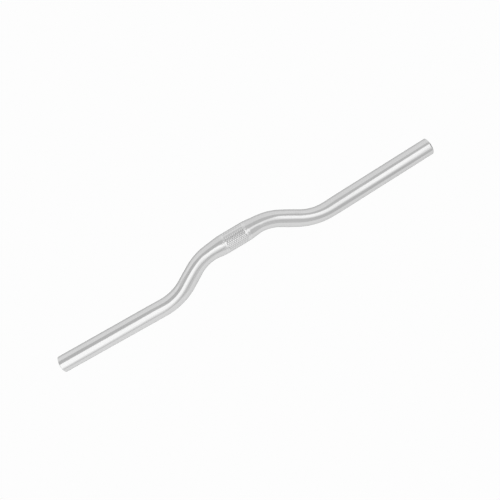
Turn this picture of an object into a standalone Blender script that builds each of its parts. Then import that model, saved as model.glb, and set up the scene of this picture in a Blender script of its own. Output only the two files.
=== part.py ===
"""Riser handlebar at full size: one aluminium tube, open from end to end.

The tube is swaged up to the clamp diameter in the middle. On each side it bends upwards, runs up an
incline and bends out again into a straight grip, which is swept back and a little up.
Metres, X along the bar, Y forwards, Z up. The origin is the centre of the stem clamp.
"""

from math import cos, exp, pi, radians, sin, tan

import bmesh
import bpy
from mathutils import Vector

# The whole bar
WIDTH = 0.540  # between the centres of the two cut ends
RISE = 0.042  # of the end centres above the clamp's axis
BACK_SWEEP = radians(9)  # of the grips, towards the rider
UP_SWEEP = radians(3)  # of the grips, above the horizontal

# The two bends of each side, with radii to the tube's centreline
INCLINE = radians(32.6)  # slope of the stretch between the bends
INNER_CORNER = 0.0468  # from the middle to where the clamp's axis meets the incline's
INNER_BEND_RADIUS = 0.060
OUTER_BEND_RADIUS = 0.079
BEND_FLATTENING = 0.05  # share of the radius that bending takes towards and away from its centre
BEND_SPREAD = 0.02  # share of the radius that it adds across the bend
FLATTENING_REACH = 0.022  # along the tube, each way from the middle of a bend

# The tube's section along its length
GRIP_DIAMETER = 0.0222
CLAMP_DIAMETER = 0.0254
CLAMP_LENGTH = 0.028  # at full diameter
SWAGE_LENGTH = 0.0226  # taper on each side of the clamp
GRIP_WALL = 0.0021
CLAMP_WALL = 0.0028
BUTT_START = 0.130  # along the tube from the middle, where the wall starts to thin
BUTT_LENGTH = 0.060
RIM_CHAMFER = 0.0005  # on the outer edge of each cut end
BORE_CHAMFER = 0.0003

# Fineness of the mesh
SIDES = 36
BENT_STEP = 0.006  # between rings as far as the bends reach
STRAIGHT_STEP = 0.022  # between rings along the grips
MERGE_DISTANCE = 0.00001
SHARP_EDGE = radians(35)

FORWARD = Vector((0, 1, 0))


def direction(slope, sweep):
    """Unit vector out along the right-hand side, sloping up and swept back."""
    return Vector((cos(slope) * cos(sweep), -cos(slope) * sin(sweep), sin(slope)))


def eased(share):
    """0 to 1, level at both ends."""
    share = min(max(share, 0), 1)
    return share * share * (3 - 2 * share)


def corners():
    """Where the straight stretches of the right half would meet, from the middle to the end."""
    up, out = direction(INCLINE, 0), direction(UP_SWEEP, BACK_SWEEP)
    across = WIDTH / 2 - INNER_CORNER
    spread = up.x * out.z - up.z * out.x
    incline_length = (across * out.z - RISE * out.x) / spread
    grip_length = (RISE * up.x - across * up.z) / spread
    inner = Vector((INNER_CORNER, 0, 0))
    outer = inner + up * incline_length
    return [Vector(), inner, outer, outer + out * grip_length]


class Straight:
    """A straight stretch of the centreline."""

    def __init__(self, start, end):
        self.start = start
        self.length = (end - start).length
        self.tangent = (end - start).normalized()

    def at(self, distance):
        return self.start + self.tangent * distance, self.tangent


class Bend:
    """An arc of the centreline that rounds one corner."""

    def __init__(self, corner, arriving, leaving, radius):
        self.angle = arriving.angle(leaving)
        self.radius = radius
        self.length = radius * self.angle
        self.arriving = arriving
        self.axis = arriving.cross(leaving).normalized()
        self.inwards = self.axis.cross(arriving)
        reach = radius * tan(self.angle / 2)
        self.start = corner - arriving * reach
        self.end = corner + leaving * reach

    def at(self, distance):
        turn = distance / self.radius
        along = self.arriving * sin(turn) + self.inwards * (1 - cos(turn))
        tangent = self.arriving * cos(turn) + self.inwards * sin(turn)
        return self.start + along * self.radius, tangent


def centreline():
    """The stretches of the right half, from the middle to the cut end."""
    middle, inner, outer, end = corners()
    along = [(b - a).normalized() for a, b in ((middle, inner), (inner, outer), (outer, end))]
    first = Bend(inner, along[0], along[1], INNER_BEND_RADIUS)
    second = Bend(outer, along[1], along[2], OUTER_BEND_RADIUS)
    return [
        Straight(middle, first.start),
        first,
        Straight(first.end, second.start),
        second,
        Straight(second.end, end),
    ]


STRETCHES = centreline()
LENGTH = sum(stretch.length for stretch in STRETCHES)


def place(distance):
    """Point and tangent of the centreline at a distance along the tube from the middle."""
    for stretch in STRETCHES[:-1]:
        if distance < stretch.length:
            return stretch.at(distance)
        distance -= stretch.length
    return STRETCHES[-1].at(distance)


def bends():
    """(distance of its middle from the bar's middle, axis) of each bend of the right half."""
    found, passed = [], 0
    for stretch in STRETCHES:
        if isinstance(stretch, Bend):
            found.append((passed + stretch.length / 2, stretch.axis))
        passed += stretch.length
    return found


BENDS = bends()


def clamp_share(distance):
    """1 at the clamp diameter, 0 at the grip diameter, eased along the swaged taper."""
    return 1 - eased((distance - CLAMP_LENGTH / 2) / SWAGE_LENGTH)


def outer_radius(distance):
    extra = (CLAMP_DIAMETER - GRIP_DIAMETER) / 2
    return GRIP_DIAMETER / 2 + extra * clamp_share(distance)


def bore_radius(distance):
    thinned = eased((distance - BUTT_START) / BUTT_LENGTH)
    return outer_radius(distance) - CLAMP_WALL + (CLAMP_WALL - GRIP_WALL) * thinned


def bending_scale(distance, tangent, outwards):
    """What bending does to the radius in one direction: the round section turns oval in the bends."""
    scale = 1
    for middle, axis in BENDS:
        share = exp(-(((distance - middle) / FLATTENING_REACH) ** 2)) * (1 - clamp_share(distance))
        in_plane = outwards.dot(axis.cross(tangent)) ** 2
        scale -= share * (BEND_FLATTENING * in_plane - BEND_SPREAD * (1 - in_plane))
    return scale


def ring(mesh, distance, radius):
    """The vertices of one section of the tube."""
    point, tangent = place(distance)
    front = (FORWARD - tangent * FORWARD.dot(tangent)).normalized()
    top = tangent.cross(front)
    vertices = []
    for side in range(SIDES):
        angle = 2 * pi * side / SIDES
        outwards = front * cos(angle) + top * sin(angle)
        scale = bending_scale(distance, tangent, outwards)
        vertices.append(mesh.verts.new(point + outwards * radius * scale))
    return vertices


def skin(mesh, rings):
    """Faces between each ring and the next."""
    for near, far in zip(rings, rings[1:]):
        for side in range(SIDES):
            after = (side + 1) % SIDES
            mesh.faces.new((near[side], near[after], far[after], far[side]))


def stations(end):
    """Distances of the rings from the middle to an end: close where the tube bends, then wider."""
    last_bend, _ = BENDS[-1]
    bent = last_bend + 2 * FLATTENING_REACH
    close = round(bent / BENT_STEP)
    wide = round((end - bent) / STRAIGHT_STEP)
    near = [bent * i / close for i in range(close)]
    return near + [bent + (end - bent) * i / wide for i in range(wide + 1)]


def half_tube():
    """The right half as a shell that is open only at the middle, where its mirror image joins it."""
    mesh = bmesh.new()
    outside = [ring(mesh, s, outer_radius(s)) for s in stations(LENGTH - RIM_CHAMFER)]
    rim = ring(mesh, LENGTH, outer_radius(LENGTH) - RIM_CHAMFER)
    lip = ring(mesh, LENGTH, bore_radius(LENGTH) + BORE_CHAMFER)
    bore = [ring(mesh, s, bore_radius(s)) for s in stations(LENGTH - BORE_CHAMFER)]
    skin(mesh, [*outside, rim, lip, *reversed(bore)])
    return mesh


def aluminium():
    """Bright anodised aluminium tube."""
    material = bpy.data.materials.new("bright_anodised_aluminium")
    material.use_nodes = True
    shader = material.node_tree.nodes["Principled BSDF"]
    shader.inputs["Base Color"].default_value = (0.79, 0.79, 0.80, 1)
    shader.inputs["Metallic"].default_value = 1
    shader.inputs["Roughness"].default_value = 0.25
    return material


def handlebar():
    half = half_tube()
    data = bpy.data.meshes.new("handlebar")
    half.to_mesh(data)
    half.free()
    data.shade_smooth()
    data.set_sharp_from_angle(angle=SHARP_EDGE)
    data.materials.append(aluminium())
    bar = bpy.data.objects.new("handlebar", data)
    bpy.context.scene.collection.objects.link(bar)
    mirror = bar.modifiers.new("left_half", "MIRROR")
    mirror.use_axis = (True, False, False)
    mirror.merge_threshold = MERGE_DISTANCE


def main():
    for old in list(bpy.data.objects):
        bpy.data.objects.remove(old, do_unlink=True)
    handlebar()


main()
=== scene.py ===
"""Riser handlebar: one bright anodised aluminium tube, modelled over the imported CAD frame.

The tube starts straight. It is swaged up where the stem clamps it, knurled there, butted inside and
rounded at its cut ends, and is then bent along the bar's centreline.
Metres, X along the bar, Y forwards, Z up. The origin is the centre of the stem clamp.
"""

from collections import namedtuple
from contextlib import contextmanager
from math import atan2, ceil, cos, hypot, pi, radians, sin, tan

import bmesh
import bpy
from bpy.props import FloatProperty, FloatVectorProperty, IntProperty, PointerProperty, StringProperty
from mathutils import Matrix, Quaternion, Vector


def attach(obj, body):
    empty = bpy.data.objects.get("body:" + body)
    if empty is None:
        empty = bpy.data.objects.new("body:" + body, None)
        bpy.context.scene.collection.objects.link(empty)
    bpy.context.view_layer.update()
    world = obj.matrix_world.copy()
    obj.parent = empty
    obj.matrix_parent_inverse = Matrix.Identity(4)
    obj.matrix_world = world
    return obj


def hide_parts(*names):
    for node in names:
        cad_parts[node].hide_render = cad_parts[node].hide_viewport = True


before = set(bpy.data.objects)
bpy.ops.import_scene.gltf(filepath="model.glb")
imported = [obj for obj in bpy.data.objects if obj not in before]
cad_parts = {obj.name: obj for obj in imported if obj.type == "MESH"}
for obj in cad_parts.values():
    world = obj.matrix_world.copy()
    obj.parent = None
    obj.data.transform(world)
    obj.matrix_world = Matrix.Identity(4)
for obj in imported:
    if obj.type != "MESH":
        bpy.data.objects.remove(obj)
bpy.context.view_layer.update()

bl_info = {
    "name": "Riser Handlebar",
    "version": (1, 0, 0),
    "blender": (4, 5, 0),
    "location": "View3D > Sidebar > Handlebar",
    "description": "Models a bicycle's riser handlebar and the studio that it is shown in",
    "category": "Object",
}

SIDES = 72  # round the tube
TUBE_RINGS = (14, 20)  # the outside is divided into this many rings, and each of them again
BORE_RINGS = (14, 6)
DIAMOND_CELLS = 6  # that each diamond of the knurl is divided into, each way
GUIDE_STEP = 0.002  # between points of the centreline
SAME_PLACE = 0.00001  # closer than this, two points are one
SHARP_EDGE = radians(20)

Run = namedtuple("Run", "heading length")
Bend = namedtuple("Bend", "centre axis angle heading length")


# Sizes and colours that a user would change


def size(name, default, description):
    return FloatProperty(name=name, default=default, description=description, unit="LENGTH", precision=5)


def angle(name, degrees, description):
    return FloatProperty(name=name, default=radians(degrees), description=description, unit="ROTATION")


def factor(name, default, description):
    return FloatProperty(name=name, default=default, description=description, subtype="FACTOR")


def colour(name, default, description):
    return StringProperty(name=name, default=default, description=description)


class TubeSizes(bpy.types.PropertyGroup):
    """Sizes of the bent tube."""

    width: size("Width", 0.540, "Between the centres of the two cut ends")
    rise: size("Rise", 0.042, "Of the end centres above the clamp's axis")
    back_sweep: angle("Back Sweep", 9, "Of the grips, towards the rider")
    up_sweep: angle("Up Sweep", 3, "Of the grips, above the horizontal")
    incline: angle("Incline", 32.6, "Slope of the stretch between the bends")
    inner_corner: size("Inner Corner", 0.0468, "From the middle to where clamp and incline would meet")
    inner_bend: size("Inner Bend Radius", 0.060, "To the tube's centreline")
    outer_bend: size("Outer Bend Radius", 0.079, "To the tube's centreline")
    bend_flattening: factor("Bend Flattening", 0.05, "Of the radius, which bending takes in its own plane")
    bend_spread: factor("Bend Spread", 0.02, "Of the radius, which bending adds across that plane")
    flattening_reach: size("Flattening Reach", 0.038, "Along the tube, each way from the middle of a bend")
    grip_diameter: size("Grip Diameter", 0.0222, "Of the tube outside the clamp")
    clamp_diameter: size("Clamp Diameter", 0.0254, "Of the swaged middle")
    clamp_length: size("Clamp Length", 0.028, "At full diameter")
    swage_length: size("Swage Length", 0.0226, "Taper on each side of the clamp")
    grip_wall: size("Grip Wall", 0.0021, "Thickness at the ends")
    clamp_wall: size("Clamp Wall", 0.0028, "Thickness in the middle")
    butt_end: size("Butt End", 0.190, "Along the tube from the middle to where the wall is the grip's")
    butt_length: size("Butt Length", 0.060, "Over which the wall thins")
    rim_round: size("Rim Rounding", 0.0005, "Of the outer edge of each cut end")
    bore_round: size("Bore Rounding", 0.0003, "Of the inner edge of each cut end")


class KnurlSizes(bpy.types.PropertyGroup):
    """Sizes of the knurl that the stem bites on."""

    length: size("Length", 0.0363, "Of the knurled band along the tube")
    offset: size("Offset", 0.0023, "Of the band's middle from the bar's, to the right")
    around: IntProperty(name="Diamonds Around", default=12, description="In one row of the knurl")
    rows: IntProperty(name="Rows", default=15, description="Of diamonds along the band")
    depth: size("Depth", 0.00055, "Of the grooves between the diamonds")
    raised: size("Raised", 0.00015, "By which the ridges stand out from the tube")
    run_out: IntProperty(name="Run-out", default=2, description="Rows at each end over which it fades")


class FinishColours(bpy.types.PropertyGroup):
    """Colours of the finish, as sRGB hex values."""

    metal: colour("Aluminium", "E7E7E7", "Clear anodised aluminium")
    streak: colour("Brush Marks", "D8D8D8", "Aluminium in the brush marks")
    # Painted sheen: this brighter colour covers the knurled band and shows on its ridges
    ridge: colour("Knurl Ridges", "EEEEEE", "Where the knurl shines most")
    # Painted shade: this darker colour fills the bottom of the knurl's grooves
    groove: colour("Knurl Grooves", "C6C6C6", "Where the knurl keeps dirt and shade")
    drawn: colour("Bore", "C4C4C4", "Drawn aluminium, as left inside")


class StudioSettings(bpy.types.PropertyGroup):
    """The camera, the floor and the backdrop. The cards that light the bar have tables of their own."""

    lens: FloatProperty(name="Lens", default=72.03, description="Focal length", unit="CAMERA")
    camera: FloatVectorProperty(
        name="Camera",
        default=(0.02118, 1.10440, -0.53017),
        description="Place of the camera",
        subtype="TRANSLATION",
    )
    aim: FloatVectorProperty(
        name="Aim",
        default=(0.00920, 0.01007, 0.02022),
        description="Point in the middle of the picture",
        subtype="TRANSLATION",
    )
    roll: angle("Roll", 148.93, "Of the camera about its own axis")
    floor_height: size("Floor Height", -1.3, "Of the studio floor")
    floor_size: size("Floor Size", 40, "Of each side of the studio floor")
    backdrop: colour("Backdrop", "FDFDFD", "Behind the bar")
    floor: colour("Floor", "FCFCFC", "Of the studio floor")


# Working in edit mode


def alone(piece):
    """Leaves only this object selected and active."""
    bpy.ops.object.select_all(action="DESELECT")
    piece.select_set(True)
    bpy.context.view_layer.objects.active = piece


@contextmanager
def editing(piece, kind="VERT"):
    """Edit mode on one object."""
    alone(piece)
    bpy.ops.object.mode_set(mode="EDIT")
    bpy.ops.mesh.select_mode(type=kind)
    yield
    bpy.ops.object.mode_set(mode="OBJECT")


def select(piece, elements, wanted):
    """Selects the vertices, edges or faces of the edited object that pass a test."""
    bpy.ops.mesh.select_all(action="DESELECT")
    mesh = bmesh.from_edit_mesh(piece.data)
    for element in getattr(mesh, elements):
        if wanted(element):
            element.select_set(True)
    mesh.select_flush_mode()
    bmesh.update_edit_mesh(piece.data)


def lengthwise(edge):
    """Whether an edge of the straight tube runs along it."""
    first, last = edge.verts
    return abs(first.co.x - last.co.x) > SAME_PLACE


def crosswise_at(distance):
    """A test for the straight tube's edges that lie in the section at a distance from the middle."""
    return lambda edge: all(abs(vertex.co.x - distance) < SAME_PLACE for vertex in edge.verts)


def join(pieces, name):
    """Joins objects into the first and gives it a name."""
    bpy.ops.object.select_all(action="DESELECT")
    for piece in pieces:
        piece.select_set(True)
    bpy.context.view_layer.objects.active = pieces[0]
    bpy.ops.object.join()
    pieces[0].name = pieces[0].data.name = name
    return pieces[0]


def apply(piece, kind, **settings):
    """Adds a modifier with its settings and applies it."""
    alone(piece)
    bpy.ops.object.modifier_add(type=kind)
    modifier = piece.modifiers[-1]
    for name, value in settings.items():
        setattr(modifier, name, value)
    bpy.ops.object.modifier_apply(modifier=modifier.name)


# The bar's centreline


def sloping(slope, sweep):
    """Unit vector out along the right-hand side, sloping up and swept back."""
    return Vector((cos(slope) * cos(sweep), -cos(slope) * sin(sweep), sin(slope)))


def rounded(corner, arriving, leaving, radius):
    """The bend that rounds one corner, and how far it reaches along each straight stretch."""
    turned = arriving.angle(leaving)
    axis = arriving.cross(leaving).normalized()
    reach = radius * tan(turned / 2)
    centre = corner - arriving * reach + axis.cross(arriving) * radius
    return Bend(centre, axis, turned, arriving, radius * turned), reach


def centreline(tube):
    """The straight runs and the bends of the right half, in order from the middle to the cut end."""
    level = Vector((1, 0, 0))
    up, out = sloping(tube.incline, 0), sloping(tube.up_sweep, tube.back_sweep)
    across = tube.width / 2 - tube.inner_corner
    spread = up.x * out.z - up.z * out.x
    incline_length = (across * out.z - tube.rise * out.x) / spread
    grip_length = (tube.rise * up.x - across * up.z) / spread
    inner = level * tube.inner_corner
    outer = inner + up * incline_length
    first, first_reach = rounded(inner, level, up, tube.inner_bend)
    second, second_reach = rounded(outer, up, out, tube.outer_bend)
    return [
        Run(level, tube.inner_corner - first_reach),
        first,
        Run(up, incline_length - first_reach - second_reach),
        second,
        Run(out, grip_length - second_reach),
    ]


def bend_middles(tube):
    """(distance along the tube from the middle, turn of the bend's plane round it) for each bend."""
    found, passed = [], 0
    for stretch in centreline(tube):
        if isinstance(stretch, Bend):
            heading = Quaternion(stretch.axis, stretch.angle / 2) @ stretch.heading
            upright = (Vector((0, 0, 1)) - heading * heading.z).normalized()
            inwards = stretch.axis.cross(heading)
            turned = atan2(upright.cross(inwards).dot(heading), upright.dot(inwards))
            found.append((passed + stretch.length / 2, turned))
        passed += stretch.length
    return found


def guide(tube):
    """The centreline as a curve from the left cut end to the right one."""
    wire = bpy.data.objects.new("centreline", bpy.data.meshes.new("centreline"))
    bpy.context.scene.collection.objects.link(wire)
    wire.data.from_pydata([(0, 0, 0)], [], [])
    with editing(wire):
        bpy.ops.mesh.select_all(action="SELECT")
        for stretch in centreline(tube):
            steps = ceil(stretch.length / GUIDE_STEP)
            if isinstance(stretch, Bend):
                # The operator turns clockwise about its axis
                bpy.ops.mesh.spin(
                    steps=steps, angle=stretch.angle, center=stretch.centre, axis=-stretch.axis
                )
                continue
            for _ in range(steps):
                bpy.ops.mesh.extrude_region_move(
                    TRANSFORM_OT_translate={"value": stretch.heading * (stretch.length / steps)}
                )
    apply(wire, "MIRROR", merge_threshold=SAME_PLACE)
    bpy.ops.object.convert(target="CURVE")
    curve = bpy.context.object
    curve.data.twist_mode = "Z_UP"
    if curve.data.splines[0].points[0].co.x > 0:
        bpy.ops.object.mode_set(mode="EDIT")
        bpy.ops.curve.select_all(action="SELECT")
        bpy.ops.curve.switch_direction()
        bpy.ops.object.mode_set(mode="OBJECT")
    return curve


# The tube while it is straight


def open_tube(name, radius, length, rings):
    """A tube along X with no thickness and open ends, divided into rings."""
    bpy.ops.object.select_all(action="DESELECT")
    bpy.ops.mesh.primitive_cylinder_add(
        vertices=SIDES, radius=radius, depth=length, end_fill_type="NOTHING", rotation=(0, pi / 2, 0)
    )
    piece = bpy.context.object
    piece.name = name
    bpy.ops.object.transform_apply(location=True, rotation=True, scale=True)
    with editing(piece, "EDGE"):
        for parts in rings:
            select(piece, "edges", lengthwise)
            bpy.ops.mesh.subdivide(number_cuts=parts - 1)
    return piece


def widen(piece, near, share, reach, turned=0, across=None):
    """Scales the sections that pass a test by a share of their radius, easing off over a reach beyond.

    With across, the share applies along the direction turned round the tube from upright, and across
    applies at right angles to it.
    """
    with editing(piece):
        select(piece, "verts", near)
        bpy.ops.transform.resize(
            value=(1, share if across is None else across, share),
            orient_matrix=Matrix.Rotation(turned, 3, "X"),
            orient_matrix_type="GLOBAL",
            center_override=(0, 0, 0),
            use_proportional_edit=True,
            proportional_edit_falloff="SMOOTH",
            proportional_size=reach,
        )


def outside(tube, knurl, length, smooth, rough):
    """The tube's outer skin, swaged up to the clamp diameter and knurled."""
    radius = tube.grip_diameter / 2
    band_ends = [knurl.offset + side * knurl.length / 2 for side in (-1, 1)]
    skin = open_tube("outside", radius, length, TUBE_RINGS)
    skin.data.materials.append(smooth)
    with editing(skin):
        for end in band_ends:
            bpy.ops.mesh.select_all(action="SELECT")
            bpy.ops.mesh.bisect(plane_co=(end, 0, 0), plane_no=(1, 0, 0))
        bpy.ops.mesh.select_mode(type="FACE")
        select(skin, "faces", lambda face: band_ends[0] < face.calc_center_median().x < band_ends[1])
        bpy.ops.mesh.delete(type="FACE")
    band = open_tube("band", radius, knurl.length, [knurl.rows * DIAMOND_CELLS])
    band.data.materials.append(rough)
    with editing(band):
        bpy.ops.mesh.select_all(action="SELECT")
        bpy.ops.mesh.poke()
        bpy.ops.mesh.select_all(action="SELECT")
        bpy.ops.transform.translate(value=(knurl.offset, 0, 0))
    skin = join([skin, band], "outside")
    with editing(skin):
        bpy.ops.mesh.select_all(action="SELECT")
        bpy.ops.mesh.remove_doubles(threshold=SAME_PLACE)
    clamped = tube.clamp_length / 2 + SAME_PLACE
    swaged = tube.clamp_diameter / tube.grip_diameter
    widen(skin, lambda vertex: abs(vertex.co.x) < clamped, swaged, tube.swage_length)
    run_out = knurl.run_out * knurl.length / knurl.rows
    even_half = knurl.length / 2 - run_out + SAME_PLACE
    raised = 1 + 2 * knurl.raised / tube.clamp_diameter
    widen(skin, lambda vertex: abs(vertex.co.x - knurl.offset) < even_half, raised, run_out)
    cut_knurl(skin, tube, knurl)
    return skin


def cut_knurl(skin, tube, knurl):
    """Presses two sets of grooves into the band that the stem bites on. They cross and leave diamonds.

    The real ones are too fine to show, so they are drawn as coarse as the picture can hold. Each groove
    is pressed in several goes, each go a row shorter at both ends than the last, so that it runs out.
    Two attributes tell the finish where it is. One, which places the painted shade, is 1 at the bottom of
    a groove and falls to 0 at the ridges. The other, which places the painted sheen, is 1 where the knurl
    is at its full depth and falls to 0 at the ends of the band.
    """
    half_band = knurl.length / 2
    goes = knurl.run_out + 1
    steps = DIAMOND_CELLS // 2  # from the bottom of a groove to the top of its ridge

    def in_band(vertex, rows=0):
        """Whether a vertex is in the band, and at least so many rows from its ends."""
        inset = rows * knurl.length / knurl.rows
        return abs(vertex.co.x - knurl.offset) < half_band - inset - SAME_PLACE

    def ridge_share(vertex):
        """0 at the bottom of a groove and 1 at the top of a ridge."""
        along = (vertex.co.x - knurl.offset + half_band) / knurl.length * knurl.rows
        around = atan2(vertex.co.z, vertex.co.y) / (2 * pi) * knurl.around
        return 2 * min(abs(place - round(place)) for place in (along + around, along - around))

    with editing(skin):
        for step in range(steps):
            depth = knurl.depth * (1 - step / steps)
            pressed = 1 - depth / goes / (tube.clamp_diameter / 2)
            for rows in range(goes):

                def to_press(vertex):
                    return in_band(vertex, rows) and round(ridge_share(vertex) * steps) == step

                select(skin, "verts", to_press)
                bpy.ops.transform.resize(value=(1, pressed, pressed), center_override=(0, 0, 0))
    attributes = skin.data.attributes
    groove, knurled = (attributes.new(name, "FLOAT", "POINT") for name in ("groove", "knurled"))
    for vertex in filter(in_band, skin.data.vertices):
        fade = sum(in_band(vertex, rows) for rows in range(goes)) / goes
        groove.data[vertex.index].value = (1 - ridge_share(vertex)) * fade
        knurled.data[vertex.index].value = fade


def bore(tube, length, drawn):
    """The tube's inner skin, which follows the outer one and widens where the wall is thinned."""
    straight = tube.grip_diameter / 2 - tube.clamp_wall
    skin = open_tube("bore", straight, length, BORE_RINGS)
    skin.data.materials.append(drawn)
    with editing(skin, "FACE"):
        bpy.ops.mesh.select_all(action="SELECT")
        bpy.ops.mesh.flip_normals()
    clamped = tube.clamp_length / 2 + SAME_PLACE
    swaged = (tube.clamp_diameter / 2 - tube.clamp_wall) / straight
    widen(skin, lambda vertex: abs(vertex.co.x) < clamped, swaged, tube.swage_length)
    thinned = (tube.grip_diameter / 2 - tube.grip_wall) / straight
    widen(skin, lambda vertex: abs(vertex.co.x) > tube.butt_end, thinned, tube.butt_length)
    return skin


def flatten(bar, tube):
    """Turns the round section a little oval where the tube will be bent."""
    for distance, turned in bend_middles(tube):
        for side in (-1, 1):
            middle = side * distance
            widen(
                bar,
                lambda vertex: abs(vertex.co.x - middle) < GUIDE_STEP,
                1 - tube.bend_flattening,
                tube.flattening_reach,
                side * turned,
                1 + tube.bend_spread,
            )


def cut_ends(bar, tube, length):
    """Closes the wall at both cut ends and rounds its edges."""
    rims = (
        (tube.grip_diameter / 2, tube.rim_round, 3),
        (tube.grip_diameter / 2 - tube.grip_wall, tube.bore_round, 2),
    )
    with editing(bar, "EDGE"):
        for end in (-length / 2, length / 2):
            select(bar, "edges", crosswise_at(end))
            bpy.ops.mesh.bridge_edge_loops()
            for radius, rounding, segments in rims:

                def on_rim(edge):
                    off = (abs(hypot(vertex.co.y, vertex.co.z) - radius) for vertex in edge.verts)
                    return crosswise_at(end)(edge) and max(off) < SAME_PLACE

                select(bar, "edges", on_rim)
                bpy.ops.mesh.bevel(offset=rounding, segments=segments, affect="EDGES")


def lay_out(bar):
    """Keeps the straight tube's coordinates, which the brush marks follow through the bends.

    The attribute holds each point's place on the straight tube. The UV map runs along it and round it.
    """
    mesh = bar.data
    straight = mesh.attributes.new("straight", "FLOAT_VECTOR", "POINT")
    layout = mesh.uv_layers.new(name="along_and_round")
    for vertex in mesh.vertices:
        straight.data[vertex.index].vector = vertex.co
    for face in mesh.polygons:
        middle = atan2(face.center.z, face.center.y)
        for corner in face.loop_indices:
            place = mesh.vertices[mesh.loops[corner].vertex_index].co
            turned = atan2(place.z, place.y) - middle
            turned = (turned + pi) % (2 * pi) - pi
            layout.data[corner].uv = (place.x, (middle + turned) * place.yz.length)


def bend(bar, tube, length):
    """Bends the straight tube along the bar's centreline."""
    with editing(bar):
        bpy.ops.mesh.select_all(action="SELECT")
        bpy.ops.transform.translate(value=(length / 2, 0, 0))
    path = guide(tube)
    apply(bar, "CURVE", object=path)
    bpy.data.objects.remove(path)


# Finishes. Marks are counted per metre of the straight tube, along it and then both ways across it.
BRUSH_MARKS = (1 / 0.0012, 12, 12)  # 1.2 mm apart, because the real ones are too fine to show
BRUSH_DEPTH = 0.00002
ROUGHNESS_SPREAD = (0.85, 1.25)  # shares of a finish's roughness between and in its brush marks
DRIFT = 25  # a slow change of the bath's colour every 40 mm
DRAW_MARKS = (20, 900, 900)  # 50 mm long and 1.1 mm apart, drawn coarse like the brush marks
GROOVE_SHADE_START = 0.67  # of a groove, as the value of its attribute where the painted shade starts


def linear(code):
    """An sRGB hex value as a linear colour."""
    shares = [int(code[i : i + 2], 16) / 255 for i in (0, 2, 4)]
    return (*(s / 12.92 if s <= 0.04045 else ((s + 0.055) / 1.055) ** 2.4 for s in shares), 1)


def add(tree, kind, inputs=(), **settings):
    """Adds a node. Each input is a value, or another node's output that is linked to it."""
    node = tree.nodes.new(kind)
    for name, value in settings.items():
        setattr(node, name, value)
    for name, value in dict(inputs).items():
        if isinstance(value, bpy.types.NodeSocket):
            tree.links.new(value, node.inputs[name])
        else:
            node.inputs[name].default_value = value
    return node


def new_material(name):
    """A material and its node tree, which is empty."""
    material = bpy.data.materials.new(name)
    material.use_nodes = True
    material.node_tree.nodes.clear()
    return material, material.node_tree


def drawn_aluminium(colours):
    """The bore as the drawing mandrel left it: a dull grey that still picks up light from the mouth."""
    material, tree = new_material("drawn_aluminium_bore")
    place = add(tree, "ShaderNodeAttribute", attribute_name="straight").outputs["Vector"]
    # Draw marks run along the tube
    marks = add(tree, "ShaderNodeMapping", {"Vector": place, "Scale": DRAW_MARKS}).outputs["Vector"]
    drawn = add(tree, "ShaderNodeTexNoise", {"Vector": marks, "Scale": 1, "Detail": 2}).outputs["Fac"]
    rough = add(
        tree, "ShaderNodeMapRange", {"Value": drawn, "To Min": 0.45, "To Max": 0.65}
    ).outputs["Result"]
    metal = add(
        tree,
        "ShaderNodeBsdfPrincipled",
        {"Base Color": linear(colours.drawn), "Metallic": 1, "Roughness": rough},
    )
    add(tree, "ShaderNodeOutputMaterial", {"Surface": metal.outputs["BSDF"]})
    return material


def anodised_aluminium(name, bright, dull, roughness, brushing, ridge=None, groove=None):
    """Aluminium that was brushed as it turned and then clear anodised.

    The brush marks lie round the tube and break its long highlights up into fine cross lines. On a knurl,
    a brighter colour over the band is a painted sheen that shows on its ridges, and a darker colour at the
    bottom of its grooves is painted shade.
    """
    material, tree = new_material(name)
    place = add(tree, "ShaderNodeAttribute", attribute_name="straight").outputs["Vector"]
    # Brush marks: thin along the tube and long round it
    marks = add(tree, "ShaderNodeMapping", {"Vector": place, "Scale": BRUSH_MARKS}).outputs["Vector"]
    brushed = add(
        tree, "ShaderNodeTexNoise", {"Vector": marks, "Scale": 1, "Detail": 3, "Roughness": 0.6}
    ).outputs["Fac"]
    drift = add(
        tree, "ShaderNodeTexNoise", {"Vector": place, "Scale": DRIFT, "Detail": 2, "Roughness": 0.5}
    ).outputs["Fac"]
    blend = add(
        tree, "ShaderNodeMath", {0: brushed, 1: drift}, operation="MULTIPLY"
    ).outputs["Value"]
    tint = add(
        tree,
        "ShaderNodeMix",
        {"Factor": blend, "A": linear(bright), "B": linear(dull)},
        data_type="RGBA",
    ).outputs[2]
    if ridge:
        # Painted sheen: the knurled band takes the brighter ridge colour
        knurled = add(tree, "ShaderNodeAttribute", attribute_name="knurled").outputs["Fac"]
        tint = add(
            tree,
            "ShaderNodeMix",
            {"Factor": knurled, "A": tint, "B": linear(ridge)},
            data_type="RGBA",
        ).outputs[2]
        # Painted shade: the bottom of each groove takes the darker groove colour
        depth = add(tree, "ShaderNodeAttribute", attribute_name="groove").outputs["Fac"]
        bottom = add(
            tree, "ShaderNodeMapRange", {"Value": depth, "From Min": GROOVE_SHADE_START, "From Max": 1}
        ).outputs["Result"]
        tint = add(
            tree,
            "ShaderNodeMix",
            {"Factor": bottom, "A": tint, "B": linear(groove)},
            data_type="RGBA",
        ).outputs[2]
    smoothest, roughest = (roughness * share for share in ROUGHNESS_SPREAD)
    rough = add(
        tree, "ShaderNodeMapRange", {"Value": brushed, "To Min": smoothest, "To Max": roughest}
    ).outputs["Result"]
    relief = add(
        tree, "ShaderNodeBump", {"Height": brushed, "Strength": brushing, "Distance": BRUSH_DEPTH}
    ).outputs["Normal"]
    tangent = add(
        tree, "ShaderNodeTangent", direction_type="UV_MAP", uv_map="along_and_round"
    ).outputs["Tangent"]
    metal = add(
        tree,
        "ShaderNodeBsdfPrincipled",
        {
            "Base Color": tint,
            "Metallic": 1,
            "Anisotropic": 0.1,
            "Roughness": rough,
            "Normal": relief,
            "Tangent": tangent,
        },
    )
    add(tree, "ShaderNodeOutputMaterial", {"Surface": metal.outputs["BSDF"]})
    return material


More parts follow.
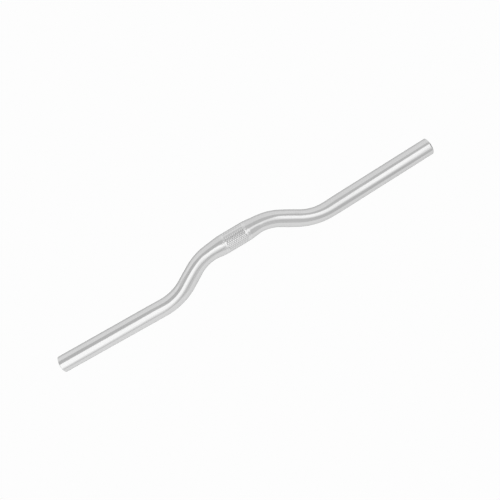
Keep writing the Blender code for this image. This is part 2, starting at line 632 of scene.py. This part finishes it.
def glow():
    """Light of the brightness that each card holds."""
    material, tree = new_material("studio_light")
    brightness = add(tree, "ShaderNodeAttribute", attribute_name="brightness").outputs["Fac"]
    light = add(tree, "ShaderNodeEmission", {"Strength": brightness})
    add(tree, "ShaderNodeOutputMaterial", {"Surface": light.outputs["Emission"]})
    return material


# The operators


class HANDLEBAR_OT_bar(bpy.types.Operator):
    """Models the bar and puts it in place of the plain CAD tube"""

    bl_idname = "handlebar.bar"
    bl_label = "Model Bar"

    def execute(self, context):
        scene = context.scene
        tube, knurl, colours = scene.handlebar_tube, scene.handlebar_knurl, scene.handlebar_finish
        smooth = anodised_aluminium(
            "brushed_anodised_aluminium", colours.metal, colours.streak, roughness=0.14, brushing=0.25
        )
        rough = anodised_aluminium(
            "knurled_anodised_aluminium",
            colours.metal,
            colours.streak,
            roughness=0.15,
            brushing=0,
            ridge=colours.ridge,
            groove=colours.groove,
        )
        drawn = drawn_aluminium(colours)
        length = 2 * sum(stretch.length for stretch in centreline(tube))
        skins = [outside(tube, knurl, length, smooth, rough), bore(tube, length, drawn)]
        bar = join(skins, "bright_handlebar")
        flatten(bar, tube)
        cut_ends(bar, tube, length)
        lay_out(bar)
        bend(bar, tube, length)
        alone(bar)
        bpy.ops.object.shade_smooth_by_angle(angle=SHARP_EDGE)
        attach(bar, "root")
        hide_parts("handlebar")
        return {"FINISHED"}


# The studio's cards wrap round the bar. Turns are in degrees round X, up from the camera's side. The
# edges and the brightness of each card were set against the photograph's tones.
LENS_SIDE = -26.7  # from level
STUDIO_END = 1.5  # of the cards, each way along X
WALL_DISTANCE, SOFTBOX_DISTANCE, FLAG_DISTANCE = 1.2, 1.15, 1.1  # from the X axis
CARD_STEPS = 6  # faces of a card between two knots round the bar
DISC_SIDES = 32
ENDS = (
    # name, place along X, radius, brightness
    ("left_end_wall", -STUDIO_END, 1.3, 0.68),
    ("right_end_wall", STUDIO_END, 1.3, 0.68),
    ("right_end_flag", STUDIO_END - 0.01, 0.6, 0.11),
)
WALLS = (
    # name, then (lower edge, upper edge, brightness) at even steps from the left end to the right
    ("lower_back", (-145, -115, 0.65), (-145, -115, 0.70)),
    ("floor_bounce", (-115, -65, 0.90), (-115, -55, 0.80), (-115, -55, 0.85)),
    ("lower_flag", (-65, -5, 0.55), (-55, -5, 0.60), (-55, -5, 0.60)),
    ("upper_flag", (-5, 30, 0.90), (-5, 55, 0.80), (-5, 70, 0.65), (-5, 85, 0.55), (-5, 105, 0.80)),
    ("upper_wall", (30, 110, 0.8), (55, 110, 0.85), (70, 110, 0.85), (85, 110, 0.8), (105, 110, 0.7)),
    ("upper_back", (110, 150, 0.90), (110, 150, 0.70)),
    ("back_upper_flag", (150, 165, 0.30), (150, 165, 0.30)),
    ("back_softbox", (165, 200, 1.20), (165, 200, 1.20)),
    ("back_lower_flag", (200, 215, 0.30), (200, 215, 0.30)),
)
SOFTBOX = (
    # along X, lower edge, where fading starts, upper edge, brightness, brightness at the upper edge
    (-1.50, -5, 55, 70, 1.25, 0.95),
    (-0.75, -15, 40, 85, 1.20, 0.55),
    (-0.45, -25, -5, 60, 1.20, 0.55),
    (-0.22, -15, 5, 50, 1.25, 0.45),
    (0.00, 0, 30, 32, 1.25, 0.60),
    (0.22, -10, -5, 10, 1.00, 1.00),
    (0.50, -15, 15, 40, 0.95, 0.55),
    (0.80, -20, 20, 50, 1.25, 0.65),
    (1.15, -25, -15, 65, 1.05, 0.80),
)
# The knurl's right-hand slopes see this flag, which brings out their relief
RIGHT_FLAG = [(along, [(-25, 0.12), (75, 0.12)]) for along in (1.1, STUDIO_END)]


def card(name, distance, stations, paint):
    """A curved card that only the bar's reflections see.

    Each station is a place along X with its knots round the bar, (turn, brightness). Edges and
    brightness run evenly from knot to knot and from station to station.
    """
    corners, levels, faces = [], [], []
    for along, knots in stations:
        for (turn, level), (next_turn, next_level) in zip(knots, knots[1:]):
            for i in range(CARD_STEPS + 1):
                share = i / CARD_STEPS
                turned = radians(LENS_SIDE + turn + (next_turn - turn) * share)
                corners.append((along, distance * cos(turned), distance * sin(turned)))
                levels.append(level + (next_level - level) * share)
    row = len(corners) // len(stations)
    for start in range(0, len(corners) - row, row):
        for i in range(start, start + row - 1):
            if (i - start) % (CARD_STEPS + 1) < CARD_STEPS:
                faces.append((i, i + 1, i + row + 1, i + row))
    data = bpy.data.meshes.new(name)
    data.from_pydata(corners, [], faces)
    data.attributes.new("brightness", "FLOAT", "POINT").data.foreach_set("value", levels)
    panel = bpy.data.objects.new(name, data)
    bpy.context.scene.collection.objects.link(panel)
    hang(panel, paint)


def hang(panel, paint):
    """Lights a card and leaves it to the bar's reflections."""
    panel.data.materials.append(paint)
    panel.visible_camera = panel.visible_diffuse = panel.visible_shadow = False
    panel.visible_transmission = panel.visible_volume_scatter = False


def cards(walls, softbox, flag, ends):
    """Hangs the walls, the softbox and a flag round the bar, and closes both ends."""
    paint = glow()
    for name, *shapes in walls:
        step = 2 * STUDIO_END / (len(shapes) - 1)
        stations = []
        for i, (low, high, level) in enumerate(shapes):
            stations.append((i * step - STUDIO_END, [(low, level), (high, level)]))
        card(name, WALL_DISTANCE, stations, paint)
    stations = []
    for along, low, even, high, level, last_level in softbox:
        stations.append((along, [(low, level), (even, level), (high, last_level)]))
    card("softbox", SOFTBOX_DISTANCE, stations, paint)
    card("right_flag", FLAG_DISTANCE, flag, paint)
    for name, along, radius, level in ends:
        bpy.ops.object.select_all(action="DESELECT")
        bpy.ops.mesh.primitive_circle_add(
            vertices=DISC_SIDES,
            radius=radius,
            fill_type="NGON",
            rotation=(0, pi / 2, 0),
            location=(along, 0, 0),
        )
        disc = bpy.context.object
        disc.name = name
        brightness = disc.data.attributes.new("brightness", "FLOAT", "POINT")
        brightness.data.foreach_set("value", [level] * DISC_SIDES)
        hang(disc, paint)


class HANDLEBAR_OT_studio(bpy.types.Operator):
    """Sets up the floor, the backdrop, the cards and the camera"""

    bl_idname = "handlebar.studio"
    bl_label = "Set Up Studio"

    def execute(self, context):
        scene = context.scene
        studio = scene.handlebar_studio
        self.camera(scene, studio)
        self.backdrop(scene, studio)
        self.floor(studio)
        cards(WALLS, SOFTBOX, RIGHT_FLAG, ENDS)
        scene.view_settings.view_transform = "Standard"
        return {"FINISHED"}

    def camera(self, scene, studio):
        """The photograph's view, from in front of the bar and below it."""
        place, aim = Vector(studio.camera), Vector(studio.aim)
        bpy.ops.object.camera_add(location=place)
        camera = bpy.context.object
        camera.data.lens = studio.lens
        camera.rotation_mode = "QUATERNION"
        level = (aim - place).to_track_quat("-Z", "Y")
        camera.rotation_quaternion = level @ Quaternion((0, 0, 1), studio.roll)
        scene.camera = camera

    def backdrop(self, scene, studio):
        """The backdrop's colour to the camera and in the metal, and white light on the floor."""
        scene.world = bpy.data.worlds.new("backdrop")
        scene.world.use_nodes = True
        tree = scene.world.node_tree
        tree.nodes.clear()
        path = add(tree, "ShaderNodeLightPath")
        seen = path.outputs["Is Camera Ray"]
        for kind in ("Is Glossy Ray", "Is Transmission Ray"):
            seen = add(
                tree, "ShaderNodeMath", {0: seen, 1: path.outputs[kind]}, operation="MAXIMUM"
            ).outputs["Value"]
        light = add(tree, "ShaderNodeBackground", {"Color": linear("FFFFFF"), "Strength": 1})
        white = add(tree, "ShaderNodeBackground", {"Color": linear(studio.backdrop), "Strength": 1})
        mixed = add(
            tree, "ShaderNodeMixShader", {"Fac": seen, 1: light.outputs[0], 2: white.outputs[0]}
        )
        add(tree, "ShaderNodeOutputWorld", {"Surface": mixed.outputs[0]})

    def floor(self, studio):
        """A matt white floor far below the bar."""
        bpy.ops.object.select_all(action="DESELECT")
        bpy.ops.mesh.primitive_plane_add(size=studio.floor_size, location=(0, 0, studio.floor_height))
        floor = bpy.context.object
        floor.name = "floor"
        # Matt paint, which shows no reflection of the bar
        paint, tree = new_material("matt_white_floor")
        matt = add(
            tree, "ShaderNodeBsdfPrincipled", {"Base Color": linear(studio.floor), "Roughness": 0.9}
        )
        add(tree, "ShaderNodeOutputMaterial", {"Surface": matt.outputs["BSDF"]})
        floor.data.materials.append(paint)


class HANDLEBAR_PT_panel(bpy.types.Panel):
    """Lists the handlebar's sizes and operators."""

    bl_idname = "HANDLEBAR_PT_panel"
    bl_label = "Riser Handlebar"
    bl_space_type = "VIEW_3D"
    bl_region_type = "UI"
    bl_category = "Handlebar"

    def draw(self, context):
        for group in GROUPS:
            settings = getattr(context.scene, group)
            for name in settings.bl_rna.properties.keys():
                if name not in ("rna_type", "name"):
                    self.layout.prop(settings, name)
        self.layout.operator(HANDLEBAR_OT_bar.bl_idname)
        self.layout.operator(HANDLEBAR_OT_studio.bl_idname)


GROUPS = {
    "handlebar_tube": TubeSizes,
    "handlebar_knurl": KnurlSizes,
    "handlebar_finish": FinishColours,
    "handlebar_studio": StudioSettings,
}
CLASSES = (*GROUPS.values(), HANDLEBAR_OT_bar, HANDLEBAR_OT_studio, HANDLEBAR_PT_panel)


def register():
    for kind in CLASSES:
        bpy.utils.register_class(kind)
    for name, group in GROUPS.items():
        setattr(bpy.types.Scene, name, PointerProperty(type=group))


def unregister():
    for name in GROUPS:
        delattr(bpy.types.Scene, name)
    for kind in reversed(CLASSES):
        bpy.utils.unregister_class(kind)


def main():
    register()
    bpy.ops.handlebar.bar()
    bpy.ops.handlebar.studio()


if __name__ == "__main__":
    main()
